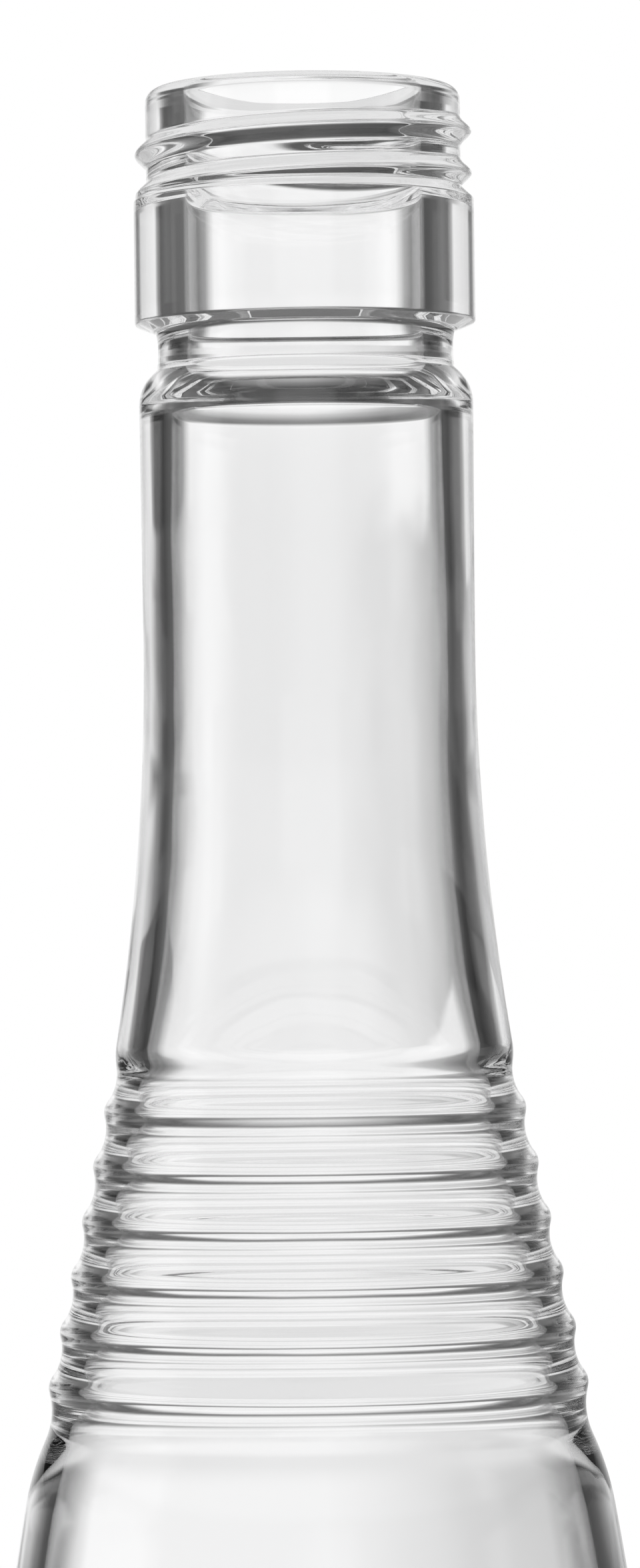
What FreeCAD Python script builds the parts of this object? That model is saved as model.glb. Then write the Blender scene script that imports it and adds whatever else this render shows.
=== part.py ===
import FreeCAD, Part
import math
import os

import Sketcher

# A clear glass screw-top soda bottle, open, with its closure set down in front of it.
# Millimetres, +Z up. The bottle's axis is Z, and it stands on the plane z = 0.
# A "drop" is a distance below the flat top of the lip.

DIMENSIONS = {
    # whole bottle
    "bottle_height": 240.0,
    "body_radius": 28.7,
    "heel_round": 6.0,
    "bearing_inner_radius": 20.0,
    "push_up_height": 5.0,
    # smooth lower shoulder, from the straight body up to the foot of the rings
    "body_top_drop": 167.0,
    "shoulder_top_drop": 117.0,
    "shoulder_top_radius": 24.3,
    "swell_foot_drop": 111.37,
    "swell_foot_radius": 22.56,
    "swell_round": 23.8,
    "swell_hollow": 6.0,
    # rings with narrow crests and wide valleys on the conical upper shoulder
    "ring_pitch": 4.52,
    "ring_first_drop": 84.2,
    "ring_first_radius": 17.4,
    "ring_slope": 0.213,
    "ring_round": 1.5,
    "ring_valley_round": 3.8,
    # neck, rounded in at its foot to a hollow above the first ring
    "neck_hollow_drop": 81.02,
    "neck_hollow_radius": 16.32,
    "neck_end_round": 13.9,
    "neck_foot_drop": 78.0,
    "neck_waist_drop": 46.0,
    "neck_waist_radius": 13.71,
    "neck_flare_round": 208.0,
    "neck_top_drop": 26.2,
    "neck_top_radius": 13.82,
    # groove under the collar
    "groove_foot_drop": 23.2,
    "groove_foot_radius": 12.3,
    "groove_top_drop": 20.3,
    "groove_top_radius": 12.35,
    # finish: collar, thread land and lip
    "collar_radius": 14.1,
    "collar_foot_drop": 19.31,
    "collar_underside_drop": 19.58,
    "collar_underside_radius": 13.92,
    "collar_foot_round": 0.3,
    "collar_top_drop": 9.3,
    "collar_chamfer": 1.05,
    "land_radius": 13.05,
    "lip_round": 1.1,
    "lip_inner_round": 0.8,
    # inside of the glass
    "bore_radius": 9.8,
    "bore_foot_drop": 24.0,
    "neck_inner_top_drop": 28.0,
    "neck_inner_top_radius": 11.3,
    "neck_inner_waist_drop": 57.0,
    "neck_inner_waist_radius": 11.4,
    "cone_inner_top_drop": 80.0,
    "cone_inner_top_radius": 14.0,
    "cone_inner_foot_drop": 117.0,
    "cone_inner_foot_radius": 21.9,
    "body_wall": 2.4,
    "floor_middle_height": 8.5,
    "floor_edge_height": 7.2,
    "floor_edge_radius": 15.0,
    "inner_heel_height": 15.0,
    "cut_overrun": 1.0,
    # closure
    "cap_offset_x": 10.0,
    "cap_offset_y": -50.0,
    "cap_height": 21.4,
    "cap_radius": 14.5,
    "cap_sheet": 0.25,
    "cap_corner_round": 1.2,
    "bead_height": 15.2,
    "bead_half_width": 0.6,
    "bead_depth": 0.3,
    "slit_height": 5.6,
    "slit_width": 0.6,
    "slit_angle": 36.0,
    "slit_margin": 0.5,
    "liner_radius": 13.2,
    "liner_thickness": 0.9,
    "liner_web_radius": 9.6,
    "liner_web_thickness": 0.45,
    "liner_step_width": 0.45,
}
RING_COUNT = 6
BRIDGE_COUNT = 8

# Which way an arc bends as the outline is drawn: to the left or to the right.
LEFT = 1
RIGHT = -1

# The two sides of a ring, as steps down the slant of the shoulder.
UPPER = -1
LOWER = 1


class Size:
    """A length that is a number and, at the same time, the sheet expression it comes from."""

    def __init__(self, value, text):
        self.value = value
        self.text = text

    @staticmethod
    def of(thing):
        return thing if isinstance(thing, Size) else Size(float(thing), repr(float(thing)))

    def join(self, sign, other, value):
        return Size(value, f"({self.text} {sign} {Size.of(other).text})")

    def __add__(self, other):
        return self.join("+", other, self.value + Size.of(other).value)

    def __sub__(self, other):
        return self.join("-", other, self.value - Size.of(other).value)

    def __mul__(self, other):
        return self.join("*", other, self.value * Size.of(other).value)

    def __truediv__(self, other):
        return self.join("/", other, self.value / Size.of(other).value)

    def root(self):
        return Size(math.sqrt(self.value), f"sqrt({self.text})")


def dim(name):
    """The sheet's cell of this name, as a Size."""
    return Size(DIMENSIONS[name], f"Sheet.{name}")


class Outline:
    """A closed outline in a body's XZ plane, drawn point by point and bound to the sheet.

    Each point is a radius and a height. Both are sketch constraints that follow the sheet, and so
    is the radius of each arc.
    """

    def __init__(self, body, name, radius, height):
        self.sketch = body.newObject("Sketcher::SketchObject", name)
        plane = next(f for f in body.Origin.OriginFeatures if f.Role == "XZ_Plane")
        self.sketch.AttachmentSupport = (plane, "")
        self.sketch.MapMode = "FlatFace"
        self.points = [(Size.of(radius), Size.of(height))]
        self.edges = []

    def line_to(self, radius, height):
        self.points.append((Size.of(radius), Size.of(height)))
        self.edges.append(None)

    def arc_to(self, radius, height, arc_radius, bend):
        self.points.append((Size.of(radius), Size.of(height)))
        self.edges.append((arc_radius, bend))

    def close(self):
        """Joins the last point to the first, draws the edges and binds every size."""
        self.edges.append(None)
        count = len(self.points)
        place = [FreeCAD.Vector(r.value, z.value, 0) for r, z in self.points]
        drawn = []
        starts = []
        for i, edge in enumerate(self.edges):
            first, last = place[i], place[(i + 1) % count]
            if edge is None:
                drawn.append(Part.LineSegment(first, last))
                starts.append(1)
            else:
                drawn.append(arc_between(first, last, edge[0].value, edge[1]))
                starts.append(1 if edge[1] == LEFT else 2)
        self.sketch.addGeometry(drawn, False)
        constraints = []
        bound = []
        for i, (radius, height) in enumerate(self.points):
            before = (i - 1) % count
            end_of_before = 3 - starts[before]
            constraints.append(
                Sketcher.Constraint("Coincident", before, end_of_before, i, starts[i])
            )
            for size, kind, axis in ((radius, "DistanceX", -2), (height, "DistanceY", -1)):
                if size.value == 0.0:
                    constraints.append(Sketcher.Constraint("PointOnObject", i, starts[i], axis))
                else:
                    bound.append((len(constraints), f"{kind}_{i}", size))
                    constraints.append(
                        Sketcher.Constraint(kind, -1, 1, i, starts[i], size.value)
                    )
            if self.edges[i] is not None:
                arc_radius = self.edges[i][0]
                bound.append((len(constraints), f"Radius_{i}", arc_radius))
                constraints.append(Sketcher.Constraint("Radius", i, arc_radius.value))
        self.sketch.addConstraint(constraints)
        for index, name, size in bound:
            self.sketch.renameConstraint(index, name)
            self.sketch.setExpression(f"Constraints.{name}", size.text)
        return self.sketch


def arc_between(first, last, radius, bend):
    """The shorter arc of this radius from first to last, as a sketch holds it: anticlockwise."""
    chord = last - first
    rise = math.sqrt(radius**2 - (chord.Length / 2) ** 2)
    across = FreeCAD.Vector(-chord.y, chord.x, 0).normalize()
    centre = (first + last) * 0.5 + across * (rise * bend)
    start, end = (first, last) if bend == LEFT else (last, first)
    angles = [math.atan2(p.y - centre.y, p.x - centre.x) for p in (start, end)]
    return Part.ArcOfCircle(Part.Circle(centre, FreeCAD.Vector(0, 0, 1), radius), *angles)


def tangent_round(width, length):
    """Radius of the arc that leaves a vertical wall tangentially and goes over by width in length."""
    return (width * width + length * length) / (width * 2)


def turn(body, kind, name, sketch, angle=None):
    """Revolves or grooves a sketch about the body's axis, by a full turn unless an angle is given."""
    feature = body.newObject(f"PartDesign::{kind}", name)
    feature.Profile = sketch
    feature.ReferenceAxis = (sketch, ["V_Axis"])
    feature.Angle = 360.0
    if angle is not None:
        feature.Midplane = True
        feature.setExpression("Angle", angle.text)
    return feature


def ring_point(ring, along, out):
    """A point beside a ring's crest, in the slanted frame of the rings' common envelope.

    along runs down the envelope from the crest, and out stands off it.
    """
    slope = dim("ring_slope")
    stretch = (slope * slope + 1).root()
    crest_drop = dim("ring_first_drop") + dim("ring_pitch") * (ring - 1)
    crest_radius = dim("ring_first_radius") + dim("ring_pitch") * slope * (ring - 1)
    radius = crest_radius + (along * slope + out) / stretch
    drop = crest_drop + (along - out * slope) / stretch
    return radius, dim("bottle_height") - drop


def ring_edge(ring, side):
    """Where a ring's narrow crest meets the wide tangent valley on its UPPER or LOWER side."""
    slope = dim("ring_slope")
    half_pitch = dim("ring_pitch") * (slope * slope + 1).root() / 2
    crest = dim("ring_round")
    reach = crest + dim("ring_valley_round")
    share = crest / reach
    out = (reach * reach - half_pitch * half_pitch).root() * share - crest
    return ring_point(ring, half_pitch * share * side, out)


def glass_bottle(doc):
    """The one-piece glass: an outside turned about the axis, and a hollow turned out of it."""
    body = doc.addObject("PartDesign::Body", "glass_bottle")
    top = dim("bottle_height")

    def below(name):
        return top - dim(name)

    outside = Outline(body, "outside_outline", 0, dim("push_up_height"))
    push_up = tangent_round(dim("push_up_height"), dim("bearing_inner_radius"))
    outside.arc_to(dim("bearing_inner_radius"), 0, push_up, RIGHT)
    outside.line_to(dim("body_radius") - dim("heel_round"), 0)
    outside.arc_to(dim("body_radius"), dim("heel_round"), dim("heel_round"), LEFT)
    outside.line_to(dim("body_radius"), below("body_top_drop"))
    shoulder = tangent_round(
        dim("body_radius") - dim("shoulder_top_radius"),
        dim("body_top_drop") - dim("shoulder_top_drop"),
    )
    outside.arc_to(dim("shoulder_top_radius"), below("shoulder_top_drop"), shoulder, LEFT)
    outside.arc_to(dim("swell_foot_radius"), below("swell_foot_drop"), dim("swell_round"), LEFT)
    outside.arc_to(*ring_edge(RING_COUNT, LOWER), dim("swell_hollow"), RIGHT)
    for ring in range(RING_COUNT, 1, -1):
        outside.arc_to(*ring_edge(ring, UPPER), dim("ring_round"), LEFT)
        outside.arc_to(*ring_edge(ring - 1, LOWER), dim("ring_valley_round"), RIGHT)
    outside.arc_to(*ring_edge(1, UPPER), dim("ring_round"), LEFT)
    outside.arc_to(
        dim("neck_hollow_radius"), below("neck_hollow_drop"), dim("ring_valley_round"), RIGHT
    )
    flare = dim("neck_flare_round")
    flare_length = dim("neck_foot_drop") - dim("neck_waist_drop")
    flare_width = flare - (flare * flare - flare_length * flare_length).root()
    neck_foot_radius = dim("neck_waist_radius") + flare_width
    outside.arc_to(neck_foot_radius, below("neck_foot_drop"), dim("neck_end_round"), LEFT)
    outside.arc_to(dim("neck_waist_radius"), below("neck_waist_drop"), flare, RIGHT)
    outside.line_to(dim("neck_top_radius"), below("neck_top_drop"))
    neck_top = tangent_round(
        dim("neck_top_radius") - dim("groove_foot_radius"),
        dim("neck_top_drop") - dim("groove_foot_drop"),
    )
    outside.arc_to(dim("groove_foot_radius"), below("groove_foot_drop"), neck_top, LEFT)
    outside.line_to(dim("groove_top_radius"), below("groove_top_drop"))
    outside.line_to(dim("collar_underside_radius"), below("collar_underside_drop"))
    outside.arc_to(
        dim("collar_radius"), below("collar_foot_drop"), dim("collar_foot_round"), LEFT
    )
    outside.line_to(dim("collar_radius"), below("collar_top_drop"))
    outside.line_to(dim("land_radius"), below("collar_top_drop") + dim("collar_chamfer"))
    outside.line_to(dim("land_radius"), top - dim("lip_round"))
    outside.arc_to(dim("land_radius") - dim("lip_round"), top, dim("lip_round"), LEFT)
    outside.line_to(0, top)
    turn(body, "Revolution", "outside_turned", outside.close())

    hollow = Outline(body, "hollow_outline", 0, dim("floor_middle_height"))
    floor_drop = dim("floor_middle_height") - dim("floor_edge_height")
    hollow.arc_to(
        dim("floor_edge_radius"),
        dim("floor_edge_height"),
        tangent_round(floor_drop, dim("floor_edge_radius")),
        RIGHT,
    )
    inner_radius = dim("body_radius") - dim("body_wall")
    inner_heel = tangent_round(
        inner_radius - dim("floor_edge_radius"),
        dim("inner_heel_height") - dim("floor_edge_height"),
    )
    hollow.arc_to(inner_radius, dim("inner_heel_height"), inner_heel, LEFT)
    hollow.line_to(inner_radius, below("body_top_drop"))
    inner_shoulder = tangent_round(
        inner_radius - dim("cone_inner_foot_radius"),
        dim("body_top_drop") - dim("cone_inner_foot_drop"),
    )
    hollow.arc_to(
        dim("cone_inner_foot_radius"), below("cone_inner_foot_drop"), inner_shoulder, LEFT
    )
    hollow.line_to(dim("cone_inner_top_radius"), below("cone_inner_top_drop"))
    inner_flare = tangent_round(
        dim("cone_inner_top_radius") - dim("neck_inner_waist_radius"),
        dim("cone_inner_top_drop") - dim("neck_inner_waist_drop"),
    )
    hollow.arc_to(
        dim("neck_inner_waist_radius"), below("neck_inner_waist_drop"), inner_flare, RIGHT
    )
    hollow.line_to(dim("neck_inner_top_radius"), below("neck_inner_top_drop"))
    step_width = (dim("neck_inner_top_radius") - dim("bore_radius")) / 2
    step_length = (dim("neck_inner_top_drop") - dim("bore_foot_drop")) / 2
    step_round = tangent_round(step_width, step_length)
    hollow.arc_to(
        dim("bore_radius") + step_width,
        below("bore_foot_drop") - step_length,
        step_round,
        LEFT,
    )
    hollow.arc_to(dim("bore_radius"), below("bore_foot_drop"), step_round, RIGHT)
    hollow.line_to(dim("bore_radius"), top - dim("lip_inner_round"))
    hollow.arc_to(
        dim("bore_radius") + dim("lip_inner_round"), top, dim("lip_inner_round"), RIGHT
    )
    hollow.line_to(dim("bore_radius") + dim("lip_inner_round"), top + dim("cut_overrun"))
    hollow.line_to(0, top + dim("cut_overrun"))
    turn(body, "Groove", "hollow_turned", hollow.close())
    return body


def cap_shell(doc):
    """The drawn and rolled metal cap: a thin cup with a bead, and slits that leave narrow bridges."""
    body = doc.addObject("PartDesign::Body", "cap_shell")
    sheet = dim("cap_sheet")
    radius = dim("cap_radius")
    top = dim("cap_height")
    corner = dim("cap_corner_round")
    bead_high = dim("bead_height") + dim("bead_half_width")
    bead_low = dim("bead_height") - dim("bead_half_width")
    bead_round = tangent_round(dim("bead_depth"), dim("bead_half_width"))

    cup = Outline(body, "cup_outline", 0, top - sheet)
    cup.line_to(radius - corner, top - sheet)
    cup.arc_to(radius - sheet, top - corner, corner - sheet, RIGHT)
    cup.line_to(radius - sheet, bead_high)
    cup.arc_to(radius - sheet, bead_low, bead_round, LEFT)
    cup.line_to(radius - sheet, 0)
    cup.line_to(radius, 0)
    cup.line_to(radius, bead_low)
    cup.arc_to(radius, bead_high, bead_round, RIGHT)
    cup.line_to(radius, top - corner)
    cup.arc_to(radius - corner, top, corner, LEFT)
    cup.line_to(0, top)
    turn(body, "Revolution", "cup_turned", cup.close())

    slit = Outline(body, "slit_outline", radius - sheet - dim("slit_margin"), dim("slit_height"))
    slit.line_to(radius + dim("slit_margin"), dim("slit_height"))
    slit.line_to(radius + dim("slit_margin"), dim("slit_height") + dim("slit_width"))
    slit.line_to(
        radius - sheet - dim("slit_margin"), dim("slit_height") + dim("slit_width")
    )
    slit_cut = turn(body, "Groove", "slit_cut", slit.close(), dim("slit_angle"))
    slits = body.newObject("PartDesign::PolarPattern", "slits")
    slits.Originals = [slit_cut]
    slits.Axis = (slit.sketch, ["V_Axis"])
    slits.Angle = 360.0
    slits.Occurrences = BRIDGE_COUNT
    body.Tip = slits
    return body


def cap_liner(doc):
    """The sealing disc: a thin web with a thicker ring that presses on the lip."""
    body = doc.addObject("PartDesign::Body", "cap_liner")
    top = dim("cap_height") - dim("cap_sheet")
    web = top - dim("liner_web_thickness")
    ring = top - dim("liner_thickness")

    disc = Outline(body, "disc_outline", 0, web)
    disc.line_to(dim("liner_web_radius"), web)
    disc.line_to(dim("liner_web_radius") + dim("liner_step_width"), ring)
    disc.line_to(dim("liner_radius"), ring)
    disc.line_to(dim("liner_radius"), top)
    disc.line_to(0, top)
    turn(body, "Revolution", "disc_turned", disc.close())
    return body


def fill_sheet(doc):
    """Writes the driving dimensions into the document's sheet, one row each."""
    sheet = doc.addObject("Spreadsheet::Sheet", "Sheet")
    for row, (name, value) in enumerate(DIMENSIONS.items(), start=1):
        sheet.set(f"A{row}", name)
        sheet.set(f"B{row}", str(value))
        sheet.setAlias(f"B{row}", name)
    doc.recompute()


def check(doc, pieces):
    """Stops if any object failed or any piece has no valid solid."""
    for thing in doc.Objects:
        faults = {"Invalid", "Error"} & set(thing.State)
        if faults:
            raise RuntimeError(f"{thing.Label}: {sorted(faults)}")
    for piece in pieces:
        shape = piece.Shape
        if shape.isNull() or not shape.isValid() or len(shape.Solids) != 1:
            raise RuntimeError(f"{piece.Label}: not one valid solid")


def main():
    doc = FreeCAD.newDocument("soda_bottle")
    fill_sheet(doc)
    pieces = [glass_bottle(doc), cap_shell(doc), cap_liner(doc)]
    for piece in pieces[1:]:
        piece.setExpression("Placement.Base.x", "Sheet.cap_offset_x")
        piece.setExpression("Placement.Base.y", "Sheet.cap_offset_y")
    doc.recompute()
    check(doc, pieces)
    os.makedirs("parts", exist_ok=True)
    for piece in pieces:
        piece.Shape.exportStep(f"parts/{piece.Label}.step")
        print(f"{piece.Label}: {piece.Shape.Volume:.1f} mm3")


main()
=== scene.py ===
"""A clear glass screw-top soda bottle and its loose metal cap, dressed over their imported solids."""

import logging
import math
from dataclasses import dataclass, field
from enum import Enum
from typing import Union

import bpy
from mathutils import Matrix, Vector


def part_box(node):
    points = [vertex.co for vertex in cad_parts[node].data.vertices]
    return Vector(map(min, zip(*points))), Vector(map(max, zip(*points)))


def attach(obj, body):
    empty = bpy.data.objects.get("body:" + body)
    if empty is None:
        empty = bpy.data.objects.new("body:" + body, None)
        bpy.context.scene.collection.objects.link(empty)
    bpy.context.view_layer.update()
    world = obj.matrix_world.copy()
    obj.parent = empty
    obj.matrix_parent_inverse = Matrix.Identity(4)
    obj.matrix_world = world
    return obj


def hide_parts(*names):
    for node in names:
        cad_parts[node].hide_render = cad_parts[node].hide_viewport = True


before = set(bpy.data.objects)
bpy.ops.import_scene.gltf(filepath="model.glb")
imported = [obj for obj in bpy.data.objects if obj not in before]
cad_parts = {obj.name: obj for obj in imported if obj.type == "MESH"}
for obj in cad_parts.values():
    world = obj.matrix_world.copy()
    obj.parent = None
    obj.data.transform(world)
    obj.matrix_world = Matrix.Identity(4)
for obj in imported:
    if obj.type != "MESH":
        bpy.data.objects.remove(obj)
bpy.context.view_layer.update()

MM = 0.001
TURN = 2.0 * math.pi
# Points that are nearer than this, in metres, are one point, and a ridge that is lower is none.
SPECK = 1e-6
# An arc that turns by less than this, in radians, is drawn straight.
STRAIGHT = 1e-9
# Edges of sheet metal that turn by more than this stay sharp.
SHARP = math.radians(40.0)
LOG = logging.getLogger("soda_bottle")

Socket = bpy.types.NodeSocket
Value = Union[float, Socket]
Point = tuple[float, float]
Colour = tuple[float, float, float]


class Bend(Enum):
    """Which way an arc of a section turns as it is drawn."""

    LEFT = 1
    RIGHT = -1


class Wall(Enum):
    """The two skins of the glass, as the section's wall attribute holds them."""

    OUTSIDE = 0.0
    INSIDE = 1.0


class Side(Enum):
    """The two flanks of a ring on the shoulder."""

    LOWER = 1
    UPPER = -1


class Graph:
    """A node tree with short ways to add nodes, link them and do sums."""

    def __init__(self, tree: bpy.types.NodeTree) -> None:
        """Wraps a tree."""
        self.tree = tree

    def add(self, kind: str, **settings: object) -> bpy.types.Node:
        """Adds a node.

        Args:
            kind: The node's type name.
            settings: Properties to set on it.

        Returns:
            The new node.
        """
        node = self.tree.nodes.new(kind)
        for name, value in settings.items():
            setattr(node, name, value)
        return node

    def feed(self, socket: Socket, value: object) -> None:
        """Links a socket into an input, or sets the input's own value.

        Args:
            socket: The input.
            value: An output socket, a number, a vector or a colour.
        """
        if isinstance(value, Socket):
            self.tree.links.new(value, socket)
        else:
            socket.default_value = value

    def math(self, operation: str, *values: Value) -> Socket:
        """Adds a math node.

        Args:
            operation: The node's operation.
            values: Its inputs in order.

        Returns:
            Its result.
        """
        node = self.add("ShaderNodeMath", operation=operation)
        for socket, value in zip(node.inputs, values):
            self.feed(socket, value)
        return node.outputs[0]

    def smooth(self, value: Value, low: Value, high: Value) -> Socket:
        """A smooth step from 0 at low to 1 at high.

        Args:
            value: What is compared.
            low: Where the step starts.
            high: Where the step ends.

        Returns:
            The step's value.
        """
        node = self.add("ShaderNodeMapRange", interpolation_type="SMOOTHSTEP")
        for name, given in (("Value", value), ("From Min", low), ("From Max", high)):
            self.feed(node.inputs[name], given)
        return node.outputs["Result"]

    def sweep(self, angle: Socket, ends: Point) -> Socket:
        """A smooth step over an angle in radians, from 0 to 1 between two ends in degrees."""
        return self.smooth(angle, math.radians(ends[0]), math.radians(ends[1]))

    def mix(self, first: Value, second: Value, share: Socket) -> Socket:
        """Goes from one value to another.

        Args:
            first: The value at a share of 0.
            second: The value at a share of 1.
            share: How far to go.

        Returns:
            The value there.
        """
        return self.math("MULTIPLY_ADD", share, self.math("SUBTRACT", second, first), first)


@dataclass
class SectionPen:
    """Draws half a section of a turned piece, point by point, in millimetres."""

    points: list[Point] = field(default_factory=list)
    heading: Vector = field(default_factory=lambda: Vector((1.0, 0.0)))

    def start(self, radius: float, height: float) -> None:
        """Puts the pen down."""
        self.points.append((radius, height))

    def line(self, radius: float, height: float, rows: int = 1) -> None:
        """Draws a straight run.

        Args:
            radius: Where it ends, from the axis.
            height: Where it ends, above the ground.
            rows: How many points it gets.
        """
        here, there = Vector(self.points[-1]), Vector((radius, height))
        for i in range(1, rows + 1):
            self.points.append(tuple(here.lerp(there, i / rows)))
        self.heading = (there - here).normalized()

    def arc(self, radius: float, height: float, size: float, bend: Bend, rows: int) -> None:
        """Draws the shorter arc of a given size.

        Args:
            radius: Where it ends, from the axis.
            height: Where it ends, above the ground.
            size: The arc's own radius.
            bend: Which way it turns.
            rows: How many points it gets.
        """
        here = Vector(self.points[-1])
        chord = Vector((radius, height)) - here
        half = math.asin(min(chord.length / 2 / size, 1.0)) * bend.value
        self.heading = turned(chord.normalized(), -half)
        self.flow(radius, height, rows)

    def flow(self, radius: float, height: float, rows: int) -> None:
        """Goes on without a kink, along the one arc that leaves at the pen's heading and ends at a place.

        Args:
            radius: Where it ends, from the axis.
            height: Where it ends, above the ground.
            rows: How many points it gets.
        """
        here = Vector(self.points[-1])
        chord = Vector((radius, height)) - here
        half = math.atan2(self.heading.cross(chord), self.heading.dot(chord))
        for i in range(1, rows + 1):
            share = i / rows
            part = math.sin(half * share) / math.sin(half) if abs(half) > STRAIGHT else share
            toward = turned(chord.normalized(), half * (share - 1))
            self.points.append(tuple(here + toward * chord.length * part))
        self.heading = turned(chord.normalized(), half)

    def corner(self, at: Point, onward: Point, size: float, rows: int, run_rows: int = 1) -> None:
        """Draws a run up to a corner and rounds the corner off.

        Args:
            at: The sharp corner.
            onward: Where the outline goes after the corner.
            size: The rounding's radius.
            rows: How many points the rounding gets.
            run_rows: How many points the run up to it gets.
        """
        here = Vector(at)
        back = (Vector(self.points[-1]) - here).normalized()
        ahead = (Vector(onward) - here).normalized()
        setback = size / math.tan(back.angle(ahead) / 2)
        self.line(*(here + back * setback), rows=run_rows)
        self.flow(*(here + ahead * setback), rows)


def turned(direction: Vector, angle: float) -> Vector:
    """Turns a flat direction to the left by an angle in radians."""
    cos, sin = math.cos(angle), math.sin(angle)
    return Vector((direction.x * cos - direction.y * sin, direction.x * sin + direction.y * cos))


def tangent_round(width: float, length: float) -> float:
    """Radius of an arc that leaves a straight wall tangentially.

    Args:
        width: How far it goes over.
        length: Along how much of the wall.

    Returns:
        The radius.
    """
    return (width**2 + length**2) / (2 * width)


def nodes_group(name: str, sizes: dict[str, float]) -> tuple[Graph, dict[str, Socket], Socket]:
    """Starts a geometry tree with a geometry input, named size inputs and a geometry output.

    Args:
        name: The tree's name.
        sizes: Input names and their values.

    Returns:
        The graph, the size sockets by name, and the incoming geometry.
    """
    tree = bpy.data.node_groups.new(name, "GeometryNodeTree")
    tree.interface.new_socket("Geometry", in_out="INPUT", socket_type="NodeSocketGeometry")
    for label in sizes:
        tree.interface.new_socket(label, in_out="INPUT", socket_type="NodeSocketFloat")
    tree.interface.new_socket("Geometry", in_out="OUTPUT", socket_type="NodeSocketGeometry")
    graph = Graph(tree)
    entry = graph.add("NodeGroupInput")
    return graph, {label: entry.outputs[label] for label in sizes}, entry.outputs["Geometry"]


def lathe(graph: Graph, section: Socket, segments: int) -> tuple[Socket, Socket, Socket, Socket]:
    """Turns a section's points about Z on a grid, without placing the grid's points yet.

    Args:
        graph: The tree.
        section: The section's geometry, its points in order.
        segments: How many steps a full turn has.

    Returns:
        The grid, each point's angle, its row on the section and its place on the section.
    """
    count = graph.add("GeometryNodeAttributeDomainSize")
    graph.feed(count.inputs["Geometry"], section)
    grid = graph.add("GeometryNodeMeshGrid")
    graph.feed(grid.inputs["Vertices X"], count.outputs["Point Count"])
    grid.inputs["Vertices Y"].default_value = segments + 1
    index = graph.add("GeometryNodeInputIndex").outputs[0]
    row = graph.math("FLOOR", graph.math("DIVIDE", graph.math("ADD", index, 0.5), segments + 1.0))
    column = graph.math("SUBTRACT", index, graph.math("MULTIPLY", row, segments + 1.0))
    angle = graph.math("MULTIPLY", column, TURN / segments)
    place = graph.add("GeometryNodeSampleIndex", data_type="FLOAT_VECTOR")
    graph.feed(place.inputs["Geometry"], section)
    graph.feed(place.inputs["Value"], graph.add("GeometryNodeInputPosition").outputs[0])
    graph.feed(place.inputs["Index"], row)
    return grid.outputs["Mesh"], angle, row, place.outputs["Value"]


def placed(graph: Graph, mesh: Socket, radius: Socket, angle: Socket, height: Socket) -> Socket:
    """Puts a grid's points where their radius, angle and height say.

    Args:
        graph: The tree.
        mesh: The grid.
        radius: Distance from the axis.
        angle: Angle about the axis.
        height: Height.

    Returns:
        The turned mesh.
    """
    spot = graph.add("ShaderNodeCombineXYZ")
    graph.feed(spot.inputs[0], graph.math("MULTIPLY", radius, graph.math("COSINE", angle)))
    graph.feed(spot.inputs[1], graph.math("MULTIPLY", radius, graph.math("SINE", angle)))
    graph.feed(spot.inputs[2], height)
    move = graph.add("GeometryNodeSetPosition")
    graph.feed(move.inputs["Geometry"], mesh)
    graph.feed(move.inputs["Position"], spot.outputs[0])
    return move.outputs["Geometry"]


def sampled(graph: Graph, section: Socket, row: Socket, name: str) -> Socket:
    """Reads a named attribute of the section at each grid point's row.

    Args:
        graph: The tree.
        section: The section's geometry.
        row: The grid point's row.
        name: The attribute.

    Returns:
        The attribute's value.
    """
    named = graph.add("GeometryNodeInputNamedAttribute", data_type="FLOAT")
    named.inputs["Name"].default_value = name
    sample = graph.add("GeometryNodeSampleIndex", data_type="FLOAT")
    graph.feed(sample.inputs["Geometry"], section)
    graph.feed(sample.inputs["Value"], named.outputs["Attribute"])
    graph.feed(sample.inputs["Index"], row)
    return sample.outputs["Value"]


def helix(graph: Graph, drop: Socket, angle: Socket, sizes: dict[str, Socket]) -> Socket:
    """How much a screw thread stands up at a point of a turned wall, from 0 to 1.

    Args:
        graph: The tree.
        drop: The point's distance below the lip.
        angle: The point's angle about the axis.
        sizes: Sockets for the pitch, half width, drop at angle 0, first and last turn, and fade in turns.

    Returns:
        The thread's share of its full height there.
    """
    turn = graph.math("DIVIDE", angle, TURN)
    rise = graph.math("DIVIDE", graph.math("SUBTRACT", sizes["Thread Drop"], drop), sizes["Thread Pitch"])
    offset = graph.math("SUBTRACT", rise, turn)
    nearest = graph.math("ROUND", offset)
    away = graph.math("MULTIPLY", graph.math("SUBTRACT", offset, nearest), sizes["Thread Pitch"])
    along = graph.math("ADD", nearest, turn)
    ridge = graph.smooth(graph.math("ABSOLUTE", away), sizes["Thread Half Width"], 0.0)
    first, last, fade = sizes["First Turn"], sizes["Last Turn"], sizes["Thread Fade"]
    rising = graph.smooth(along, graph.math("SUBTRACT", first, fade), first)
    falling = graph.smooth(along, graph.math("ADD", last, fade), last)
    return graph.math("MULTIPLY", ridge, graph.math("MULTIPLY", rising, falling))


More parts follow.
